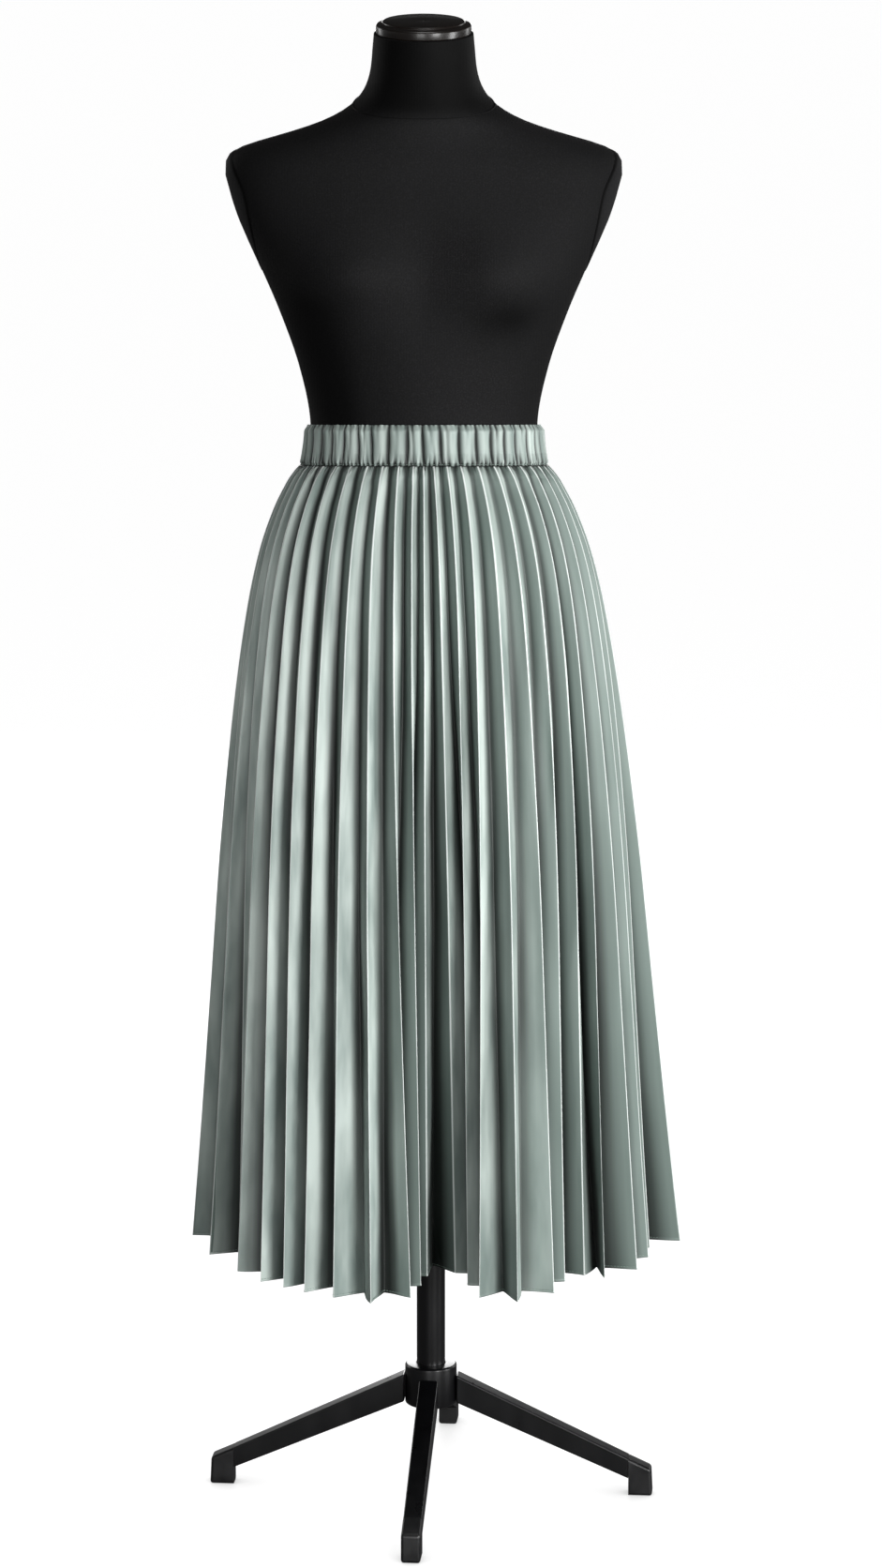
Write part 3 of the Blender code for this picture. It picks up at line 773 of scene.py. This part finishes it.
def pleat_ring(level, lines):
    """The skirt's section at a level, as ridge and valley points in turn, from the first ridge."""
    fold = share(FOLD_START, 1.0, level) ** FOLD_POWER
    ridges = []
    inwards = []
    for seam, hem, set_back in lines:
        point, inward = ellipse_point(level, seam + (hem - seam) * level)
        ridges.append(point + inward * set_back * fold)
        inwards.append(inward)
    face = FACE_AT_SEAM + (FACE_AT_HEM - FACE_AT_SEAM) * level
    tuck = TUCK_SHARE + (1.0 - TUCK_SHARE) * eased(0.0, TUCK_LEVEL, level)
    ring = []
    for i, ridge in enumerate(ridges):
        following = ridges[(i + 1) % len(ridges)]
        chord = following - ridge
        square = Vector((-chord.y, chord.x)).normalized()
        aimed = (inwards[i] + inwards[(i + 1) % len(ridges)]).normalized()
        lean = (square * (1.0 - VALLEY_LEAN) + aimed * VALLEY_LEAN).normalized()
        spare = face * face - chord.length_squared / 4
        depth = sqrt(max(spare, (LEAST_DEPTH * face) ** 2)) * tuck
        ring.append(ridge)
        ring.append((ridge + following) / 2 + lean * depth)
    return ring


def skirt_height(level, y):
    """Height of the cloth at a level, a little higher in front near the waist."""
    height = SEAM_Z - SEAM_GAP + (HEM_Z - SEAM_Z + SEAM_GAP) * level
    return height - y * tan(BAND_TILT) * (1.0 - eased(0.0, TILT_FADE, level))


def skirt_levels():
    """The shell's rows: close together under the seam and at the hem's roll."""
    length = SEAM_Z - HEM_Z
    drops = []
    for start, step, count in (ROWS_AT_SEAM, ROWS_UNDER_SEAM):
        drops += [start + step * i for i in range(count)]
    span = length - EVEN_ROWS_TO_HEM - EVEN_ROWS_FROM
    drops += [EVEN_ROWS_FROM + span * i / EVEN_ROWS for i in range(EVEN_ROWS)]
    drops += [length - to_hem for to_hem in ROWS_OVER_HEM]
    return [drop / length for drop in drops]


def face_waves(source):
    """How one pleat face waves along its length: two sums of sines, across its middle and its side."""
    waves = []
    for _ in range(2):
        strength = source.uniform(*WAVE_STRENGTH)
        waves.append([
            (height * strength, length * source.uniform(*WAVE_STRETCH), source.uniform(0, tau))
            for height, length in zip(WAVE_HEIGHTS, WAVE_LENGTHS)
        ])
    return waves


def wave_at(waves, drop):
    """The sum of a face's waves at a distance below the seam."""
    return sum(height * sin(tau * drop / length + phase) for height, length, phase in waves)


def pleat_shadow(level, ridge_share, turned_right):
    """How much painted shade lies inside a pleat, from 0 to 1: pleats are deeper towards the hem, and
    the faces turned right stay light for longer."""
    start = 0.50 - (0.24 if turned_right else 0.37) * level
    return (0.62 + 0.34 * level) * eased(start, 1.0, ridge_share)


def fold_shadow(level, ridge_share, set_back):
    """How much painted shade a large fold takes that lies so far back at the hem. Pleats that stand proud
    get painted light instead.
    """
    fold = share(FOLD_START, 1.0, level) ** FOLD_POWER
    if set_back < 0.0:
        return -PROUD_LIGHT * share(0.0, PROUD_FULL, -set_back) * fold
    return FOLD_DARKNESS * share(0.0, FOLD_FULL, set_back) * fold * (0.35 + 0.65 * ridge_share)


def to_eye(shadow):
    """A shadow from 0 to 1 as the share of dark cloth that looks that dark."""
    return 1.0 - (1.0 - share(0.0, 1.0, shadow)) ** EYE_POWER


def small_tuck(pleats_round):
    """How deep a small tuck beside the waist seam is, from 0 to 1, so many pleats round the waist."""
    drift = 1.8 * sin(22 * pi * pleats_round / PLEATS)
    return 0.5 + 0.5 * sin(tau * TUCKS_A_PLEAT * pleats_round + drift)


def seam_shadow(distance, pleats_round):
    """How much painted shade the small tucks beside the waist seam take, and the seam itself."""
    tuck = small_tuck(pleats_round) ** 2
    return 0.45 * exp(-distance / 0.0003) + 0.95 * tuck * exp(-distance / 0.0040)


def face_shares(width, from_ridge):
    """Where the shell's columns lie across a face, from its start up to where its last edge rounds."""
    shares = [RIDGE_ROUND / width, *FACE_SHARES, 1.0 - VALLEY_ROUND / width]
    if not from_ridge:
        shares = [1.0 - s for s in reversed(shares)]
    return [0.0, *shares]


def face_lift(face, k, t, ridge_share, width, drop):
    """How far the cloth stands out from a flat face: its bow, curl, waves, puckers and rolled hem."""
    (middle, side), bow = face
    calm = eased(0.0, WAVES_FULL, drop)
    belly = sin(pi * t)
    lift = belly * (BOW * bow * width + wave_at(middle, drop) * calm)
    lift += sin(tau * ridge_share) * CURL * width * calm
    lift += sin(tau * t) * wave_at(side, drop) * 0.5 * calm
    pucker = PUCKER_HEIGHT * (1.0 - eased(0.0, PUCKER_DROP, drop))
    lift += pucker * noise.noise(Vector((k * 3.1 + t * 2.2, drop * 160.0, 7.3))) * (0.4 + belly)
    to_hem = SEAM_Z - HEM_Z - drop
    if to_hem < HEM_ROLL:
        lift += HEM_ROLL_HEIGHT * sin(pi * share(0.0, HEM_ROLL, to_hem)) ** 0.5
    return lift


def corner_pull(ring, index):
    """How far the rounding of a ridge or valley pulls it into its fold. Ridges have even numbers."""
    corner = ring[index % len(ring)]
    before = ring[(index - 1) % len(ring)]
    after = ring[(index + 1) % len(ring)]
    inner = (before - corner).normalized() + (after - corner).normalized()
    return inner.normalized() * (RIDGE_PULL if index % 2 == 0 else VALLEY_PULL)


def panel_mesh(name, first, last):
    """One pleated panel as a fine open sheet, from valley to valley round its ridges."""
    lines = ridge_lines()
    length = SEAM_Z - HEM_Z
    source = random.Random(41)
    faces = [(face_waves(source), source.uniform(*BOW_RANGE)) for _ in range(2 * PLEATS)]
    # Strength of each pleat's painted shade, at random
    closed = [source.uniform(*PLEAT_SHADE_RANGE) for _ in lines]
    set_backs = [(lines[i][2] + lines[(i + 1) % PLEATS][2]) / 2 for i in range(PLEATS)]
    rows = []
    # The satin's coordinates, its painted shade as depth, its painted side shade and its painted ridge
    # highlight
    looks = {"cloth": [], "depth": [], "side_shade": [], "pressed": []}
    for level in skirt_levels():
        ring = pleat_ring(level, lines)
        drop = level * length
        for table in (rows, *looks.values()):
            table.append([])
        for k in range(2 * first - 1, 2 * last + 1):
            start = ring[k % len(ring)]
            end = ring[(k + 1) % len(ring)]
            from_ridge = k % 2 == 0
            width = (end - start).length
            out = Vector((end.y - start.y, start.x - end.x)).normalized()
            valley = k // 2 % PLEATS
            mood = noise.noise(Vector((valley * 1.7, drop * 5.0, 2.1)))
            shade_strength = closed[valley] * (1.0 + SHADE_DRIFT * mood)
            proud = share(0.0, PROUD_FULL, -set_backs[valley]) * share(FOLD_START, 1.0, level)
            # Painted side shade: a little, at random, on the faces turned right; most on the faces folded
            # the other way, less where the pleat stands proud
            if from_ridge:
                side_shade_share = LIT_FACE_SHADE * abs(noise.noise(Vector((k * 2.3, drop * 4.0, 9.4))))
            else:
                side_shade_share = 1.0 - PROUD_SHADE_LOSS * proud
            shares = face_shares(width, from_ridge)
            if k == 2 * last:
                shares.append(1.0)
            for t in shares:
                ridge_share = t if from_ridge else 1.0 - t
                lift = face_lift(faces[k % len(ring)], k, t, ridge_share, width, drop)
                point = start + (end - start) * t + out * lift
                at_corner = t in (0.0, 1.0)
                is_ridge = at_corner and ridge_share == 0.0
                if at_corner:
                    point += corner_pull(ring, k if t == 0.0 else k + 1)
                rows[-1].append(Vector((point.x, point.y, skirt_height(level, point.y))))
                looks["cloth"][-1].append(((k + t) * FACE_AT_HEM * FACE_OF_HEM, drop, 0.0))
                # Painted shade inside the pleat, in large folds and by the waist seam, kept as depth
                shadow = shade_strength * pleat_shadow(level, ridge_share, from_ridge)
                shadow += fold_shadow(level, ridge_share, set_backs[valley])
                looks["depth"][-1].append(to_eye(max(0.0, shadow) + seam_shadow(drop, (k + t) / 2)))
                looks["side_shade"][-1].append(0.5 if at_corner else side_shade_share)
                looks["pressed"][-1].append(1.0 if is_ridge else 0.0)
    return grid_mesh(name, rows, attributes=looks, flip=True)


def add_thickness(piece):
    """Make a sheet a closed shell, inside its outer face."""
    solid = piece.modifiers.new("Cloth", "SOLIDIFY")
    solid.thickness = SHELL
    solid.offset = -1.0
    solid.use_even_offset = False
    crisp = piece.modifiers.new("Pressed edges", "WEIGHTED_NORMAL")
    crisp.weight = 90


# The waistband

class Gathers:
    """The tubes of the gathered casing: where each starts, how it leans, how full it is, and the short
    tucks at its lower and upper end."""

    def __init__(self):
        source = random.Random(7)
        self.tubes = []
        for i in range(TUBES):
            at = tau * (i + source.uniform(-TUBE_SHIFT, TUBE_SHIFT)) / TUBES
            lean = source.uniform(-TUBE_LEAN, TUBE_LEAN)
            ends = [
                [source.uniform(*limits) for limits in (END_TUCK_PLACE, END_TUCK_DEPTH, END_TUCK_REACH)]
                for _ in range(2)
            ]
            self.tubes.append((at, lean, source.uniform(*TUBE_FULLNESS), ends))

    def height(self, turn, rise):
        """How far the casing stands out at a turn and a share of the band's height, from 0 to 1."""
        first = self.tubes[0][0]
        turn = first + (turn - first) % tau
        places = [at + lean * (rise - 0.5) for at, lean, *_ in self.tubes]
        places.append(places[0] + tau)
        index = 0
        if turn < places[0]:
            turn += tau
        while index < TUBES - 1 and turn >= places[index + 1]:
            index += 1
        _, _, puff, ends = self.tubes[index]
        t = share(places[index], places[index + 1], turn)
        # Creases are almond-shaped, widest halfway up
        height = puff * (4.0 * t * (1.0 - t)) ** (0.30 + 0.26 * sin(pi * rise))
        for away, (centre, depth, reach) in zip((rise, 1.0 - rise), ends):
            aside = (t - centre) / END_TUCK_WIDTH
            height *= 1.0 - depth * exp(-away / reach) * exp(-aside ** 2)
        pleats_round = turn * PLEATS / tau
        low_tuck = 0.60 * small_tuck(pleats_round) * exp(-rise / 0.09)
        high_tuck = 0.40 * small_tuck(pleats_round + 0.37) * exp((rise - 1.0) / 0.06)
        return height * (1.0 - low_tuck) * (1.0 - high_tuck)


def band_section():
    """The band's outer side from its seam to its top edge, then its inner side down again:
    share of the height, share of the thickness, share of the gathers."""
    section = []
    for i in range(BAND_ROWS + 1):
        rise = i / BAND_ROWS
        rise = rise - sin(tau * rise) / (2.6 * pi)
        pinch = exp(-((rise - 0.03) / 0.03) ** 2)
        thickness = 0.90 - 0.20 * rise + 0.15 * pinch - 0.25 * eased(0.88, 1.0, rise)
        fullness = (1.0 - 0.40 * pinch) * (1.0 - 0.62 * eased(0.84, 1.0, rise))
        section.append((rise, thickness, fullness))
    return section + [(0.995, 0.18, 0.1), (0.97, 0.0, 0.0), (0.6, 0.0, 0.0), (0.0, 0.0, 0.0)]


def band_surface(gathers, turn, rise, thickness, depth):
    """A point of the waistband."""
    fold = gathers.height(turn, rise)
    out = BAND_CLEARANCE + BAND_THICKNESS * thickness + GATHER_DEPTH * depth * fold
    level = SEAM_Z + (BAND_TOP_Z - SEAM_Z) * rise
    level += 0.0009 * (fold - 0.6) * eased(0.9, 1.0, rise)
    place = form_point(level, turn)
    return form_point(level - place.y * tan(BAND_TILT), turn, out)


def band_mesh(gathers):
    """The gathered casing, closed round and round its section."""
    count = TUBES * BAND_COLUMNS
    turns = [tau * i / count for i in range(count)]
    rows, cloth, depth, side_shade = [], [], [], []
    for rise, thickness, fullness in band_section():
        rows.append([band_surface(gathers, t, rise, thickness, fullness) for t in turns])
        cloth.append([(t * 0.20, rise * (BAND_TOP_Z - SEAM_Z), 0.0) for t in turns])
        above_seam = rise * (BAND_TOP_Z - SEAM_Z)
        # Painted shade in the creases between the tubes and at the waist seam
        depth.append([
            to_eye(BAND_CREASE_SHADE * (1.0 - eased(0.14, 0.86, gathers.height(t, rise)))
                   + seam_shadow(above_seam, t * PLEATS / tau))
            for t in turns
        ])
        side_shade.append([BAND_SIDE_SHADE] * count)
    for table in (rows, cloth, depth, side_shade):
        table.append(table[0])
    attributes = {"cloth": cloth, "depth": depth, "side_shade": side_shade}
    mesh = grid_mesh("waistband", rows, closed=True, attributes=attributes)
    shape = bmesh.new()
    shape.from_mesh(mesh)
    bmesh.ops.remove_doubles(shape, verts=shape.verts, dist=0.000001)
    bmesh.ops.recalc_face_normals(shape, faces=shape.faces)
    shape.to_mesh(mesh)
    shape.free()
    return mesh


def stitch_mesh(name, points, outs, stitch, gap, radius):
    """A row of stitches along points: each is a low rounded dash that sinks in at its ends."""
    shape = bmesh.new()
    lengths = [0.0]
    for a, b in zip(points, points[1:]):
        lengths.append(lengths[-1] + (b - a).length)
    index = 0

    def at(distance):
        nonlocal index
        while index < len(points) - 2 and lengths[index + 1] < distance:
            index += 1
        has_length = lengths[index + 1] > lengths[index]
        t = share(lengths[index], lengths[index + 1], distance) if has_length else 0.0
        return points[index].lerp(points[index + 1], t), outs[index].lerp(outs[index + 1], t).normalized()

    place = gap
    while place + stitch < lengths[-1]:
        ring_before = None
        for part, sink in ((0.0, -1.0), (0.2, 0.3), (0.8, 0.3), (1.0, -1.0)):
            centre, out = at(place + stitch * part)
            ahead, _ = at(min(lengths[-1], place + stitch * part + 0.0002))
            along = (ahead - centre).normalized() if (ahead - centre).length > 1e-9 else Vector((1, 0, 0))
            aside = along.cross(out).normalized()
            middle = centre + out * radius * sink
            ring = [
                shape.verts.new(middle + aside * radius * cos(a) + out * radius * sin(a))
                for a in (0.0, pi / 2, pi, 3 * pi / 2)
            ]
            if ring_before:
                for i in range(4):
                    j = (i + 1) % 4
                    shape.faces.new((ring_before[i], ring_before[j], ring[j], ring[i]))
            else:
                shape.faces.new(ring)
            ring_before = ring
        shape.faces.new(ring_before[::-1])
        place += stitch + gap
    bmesh.ops.recalc_face_normals(shape, faces=shape.faces)
    mesh = bpy.data.meshes.new(name)
    shape.to_mesh(mesh)
    shape.free()
    mesh.shade_smooth()
    return mesh


def waist_stitches(gathers):
    """The line of sewing that pinches the gathers, just over the seam."""
    points, outs = [], []
    steps = 1500
    for i in range(steps + 1):
        turn = tau * i / steps
        points.append(band_surface(gathers, turn, 0.035, 1.02, 0.60))
        outs.append(Vector((sin(turn), -cos(turn), 0.0)))
    return stitch_mesh("waist_stitches", points, outs, *WAIST_STITCH)


def hem_stitches(first, last):
    """The line of sewing over the hem's narrow roll."""
    lines = ridge_lines()
    length = SEAM_Z - HEM_Z
    level = 1.0 - (HEM_ROLL + STITCH_ABOVE_ROLL) / length
    ring = pleat_ring(level, lines)
    points, outs = [], []
    for k in range(2 * first - 1, 2 * last + 1):
        start = ring[k % len(ring)]
        end = ring[(k + 1) % len(ring)]
        out = Vector((end.y - start.y, start.x - end.x, 0.0)).normalized()
        for step in range(8):
            spot = start + (end - start) * (0.03 + 0.94 * step / 7)
            points.append(Vector((spot.x, spot.y, skirt_height(level, spot.y))) + out * 0.0002)
            outs.append(out)
    return stitch_mesh("hem_stitches", points, outs, *HEM_STITCH)


def build_skirt(satin, thread):
    """The gathered waistband and the two pleated panels, with their sewing."""
    gathers = Gathers()
    band = add_piece("waistband_casing", band_mesh(gathers), satin, "form", "satin", "waistband")
    band_stitches = add_piece("waist_stitches", waist_stitches(gathers), thread, "form", "satin")
    front_count = len(FRONT_RIDGES)
    for word, first, last in (("front", 0, front_count - 1), ("back", front_count, PLEATS - 1)):
        panel = add_piece("panel_" + word, panel_mesh("panel_" + word, first, last), satin, "form", "satin",
                          "skirt_" + word)
        add_thickness(panel)
        stitches = add_piece("hem_stitches_" + word, hem_stitches(first, last), thread, "form", "satin")


# The cap and the stand

def turned(name, profile, steps, edge, finish, body, slot, node):
    """A turned piece with softened edges, from a profile that runs down its outer side."""
    mesh = bpy.data.meshes.new(name)
    points = [(radius, 0.0, height) for radius, height in profile]
    mesh.from_pydata(points, [(i, i + 1) for i in range(len(points) - 1)], [])
    piece = bpy.data.objects.new(name, mesh)
    bpy.context.scene.collection.objects.link(piece)
    lathe = piece.modifiers.new("Lathe", "SCREW")
    lathe.steps = steps
    lathe.render_steps = steps
    lathe.use_merge_vertices = True
    lathe.merge_threshold = 0.00005
    evaluated = piece.evaluated_get(bpy.context.evaluated_depsgraph_get())
    solid = bpy.data.meshes.new_from_object(evaluated)
    bpy.data.objects.remove(piece)
    solid.name = name
    made = add_piece(name, solid, finish, body, slot, node)
    bevel = made.modifiers.new("Edges", "BEVEL")
    bevel.width = edge
    bevel.segments = 3
    bevel.limit_method = "ANGLE"
    bevel.angle_limit = radians(28)
    solid.shade_smooth()
    solid.set_sharp_from_angle(angle=radians(70))
    return made


def block(name, x_start, x_end, z_start, z_end, width, edge, turn, finish, slot, joint_x):
    """A tapered bar along a leg with rounded edges, left square at the joint between leg and foot.
    x_end holds the X at its bottom and top."""
    shape = bmesh.new()
    bmesh.ops.create_cube(shape, size=2.0)
    for vertex in shape.verts:
        outer = 1 if vertex.co.x > 0 else 0
        top = 1 if vertex.co.z > 0 else 0
        x = x_end[top] if outer else x_start
        z = (z_start, z_end)[outer][top]
        vertex.co = (x, copysign(width[outer] / 2, vertex.co.y), z)
    rounded = [e for e in shape.edges if max(abs(v.co.x - joint_x) for v in e.verts) > 0.001]
    bmesh.ops.bevel(shape, geom=rounded, offset=edge, segments=5, profile=0.5, affect="EDGES")
    mesh = bpy.data.meshes.new(name)
    bmesh.ops.rotate(shape, verts=shape.verts, cent=(0, 0, 0), matrix=Matrix.Rotation(turn, 3, "Z"))
    shape.to_mesh(mesh)
    shape.free()
    mesh.shade_smooth()
    mesh.set_sharp_from_angle(angle=radians(35))
    piece = add_piece(name + "_finish", mesh, finish, "stand", slot, name)
    weighted = piece.modifiers.new("Shade", "WEIGHTED_NORMAL")
    weighted.keep_sharp = True


def build_cap(lacquer):
    """The lacquered cap on the neck."""
    cap = turned("cap_lacquered", CAP_PROFILE, TURNED_STEPS, TURNED_EDGE, lacquer,
                 "form", "cap_lacquer", "neck_cap")
    top, _, _, _, _, centre_y = FORM_SECTIONS[-1]
    cap.location = (FORM_X, centre_y, top)
    cap.rotation_euler = (NECK_TILT, 0.0, 0.0)


def build_stand(coat, plastic):
    """The pole, the hub, and the legs with their feet."""
    floor_of_socket = HUB_BOTTOM_Z + HUB_SOCKET_FLOOR
    socket = POLE_RADIUS + HUB_SOCKET_GAP
    hub_profile = (
        (0.0, floor_of_socket),
        (socket, floor_of_socket),
        (socket, HUB_TOP_Z),
        (HUB_RADIUS - HUB_EDGE, HUB_TOP_Z),
        (HUB_RADIUS, HUB_TOP_Z - HUB_EDGE),
        (HUB_RADIUS, HUB_BOTTOM_Z + HUB_EDGE),
        (HUB_RADIUS - HUB_EDGE, HUB_BOTTOM_Z),
        (0.0, HUB_BOTTOM_Z),
    )
    turned("hub_coated", hub_profile, TURNED_STEPS, TURNED_EDGE, coat, "stand", "powder_coat", "hub")
    pole_profile = (
        (0.0, POLE_HIGH.z),
        (POLE_RADIUS, POLE_HIGH.z),
        (POLE_RADIUS, POLE_LOW.z),
        (0.0, POLE_LOW.z),
    )
    turned("pole_coated", pole_profile, POLE_STEPS, POLE_EDGE, coat, "stand", "powder_coat", "pole")
    for i, side in enumerate(LEG_NAMES):
        turn = BASE_TURN + i * pi / 2
        block("leg_" + side, LEG_START, (LEG_END, LEG_END), LEG_Z_START, LEG_Z_END, LEG_WIDTH,
              LEG_EDGE, turn, coat, "powder_coat", LEG_END)
        block("foot_" + side, FOOT_START, (FOOT_END, FOOT_TOP_END), FOOT_Z_START, FOOT_Z_END, FOOT_WIDTH,
              FOOT_EDGE, turn, plastic, "foot_plastic", FOOT_START)


# The studio

def area_light(name, place, target, size, power):
    """A white soft box that looks at a point."""
    data = bpy.data.lights.new(name, "AREA")
    data.shape = "RECTANGLE"
    data.size, data.size_y = size
    data.energy = power
    lamp = bpy.data.objects.new(name, data)
    bpy.context.scene.collection.objects.link(lamp)
    lamp.location = place
    lamp.rotation_euler = (Vector(target) - Vector(place)).to_track_quat("-Z", "Y").to_euler()


def build_floor():
    """A wide white floor, which the part neither mirrors nor takes light from."""
    shape = bmesh.new()
    bmesh.ops.create_circle(shape, cap_ends=True, radius=FLOOR_RADIUS, segments=64)
    mesh = bpy.data.meshes.new("studio_floor")
    shape.to_mesh(mesh)
    shape.free()
    mesh.materials.append(floor_material())
    floor = bpy.data.objects.new("studio_floor", mesh)
    bpy.context.scene.collection.objects.link(floor)
    floor.visible_diffuse = False
    floor.visible_glossy = False


def build_sky():
    """A sky that is bright close over the horizon and dim elsewhere."""
    world = bpy.data.worlds.new("studio")
    bpy.context.scene.world = world
    world.use_nodes = True
    tree = world.node_tree
    sky = add(tree, "ShaderNodeTexCoord").outputs["Generated"]
    height = add(tree, "ShaderNodeSeparateXYZ", {0: sky}).outputs[2]
    glow = add(tree, "ShaderNodeMapRange", {0: height, 1: 0.12, 2: 0.17, 3: 0.7, 4: 0.03})
    above = add(tree, "ShaderNodeMath", {0: height, 1: -0.01}, operation="GREATER_THAN")
    sky_tone = add(tree, "ShaderNodeMix", {0: above, 2: 0.08, 3: glow})
    feed(tree, tree.nodes["Background"], {"Color": sky_tone})


def build_camera():
    """The photograph's camera."""
    data = bpy.data.cameras.new("camera")
    data.sensor_width = SENSOR_MM
    data.lens = CAMERA_LENS_MM
    camera = bpy.data.objects.new("camera", data)
    camera.location = CAMERA_PLACE
    camera.rotation_euler = (CAMERA_PITCH, 0.0, 0.0)
    bpy.context.scene.collection.objects.link(camera)
    bpy.context.scene.camera = camera
    bpy.context.scene.view_settings.view_transform = "Standard"


def build_studio():
    """The floor, the sky, the lights and the camera."""
    build_floor()
    build_sky()
    for light in LIGHTS:
        area_light(*light)
    build_camera()


def main():
    """Dress the frame and light it."""
    satin = satin_material()
    build_skirt(satin, thread_material())
    build_form(jersey_material())
    build_cap(lacquer_material())
    build_stand(powder_coat_material(), moulded_plastic_material())
    build_studio()


main()
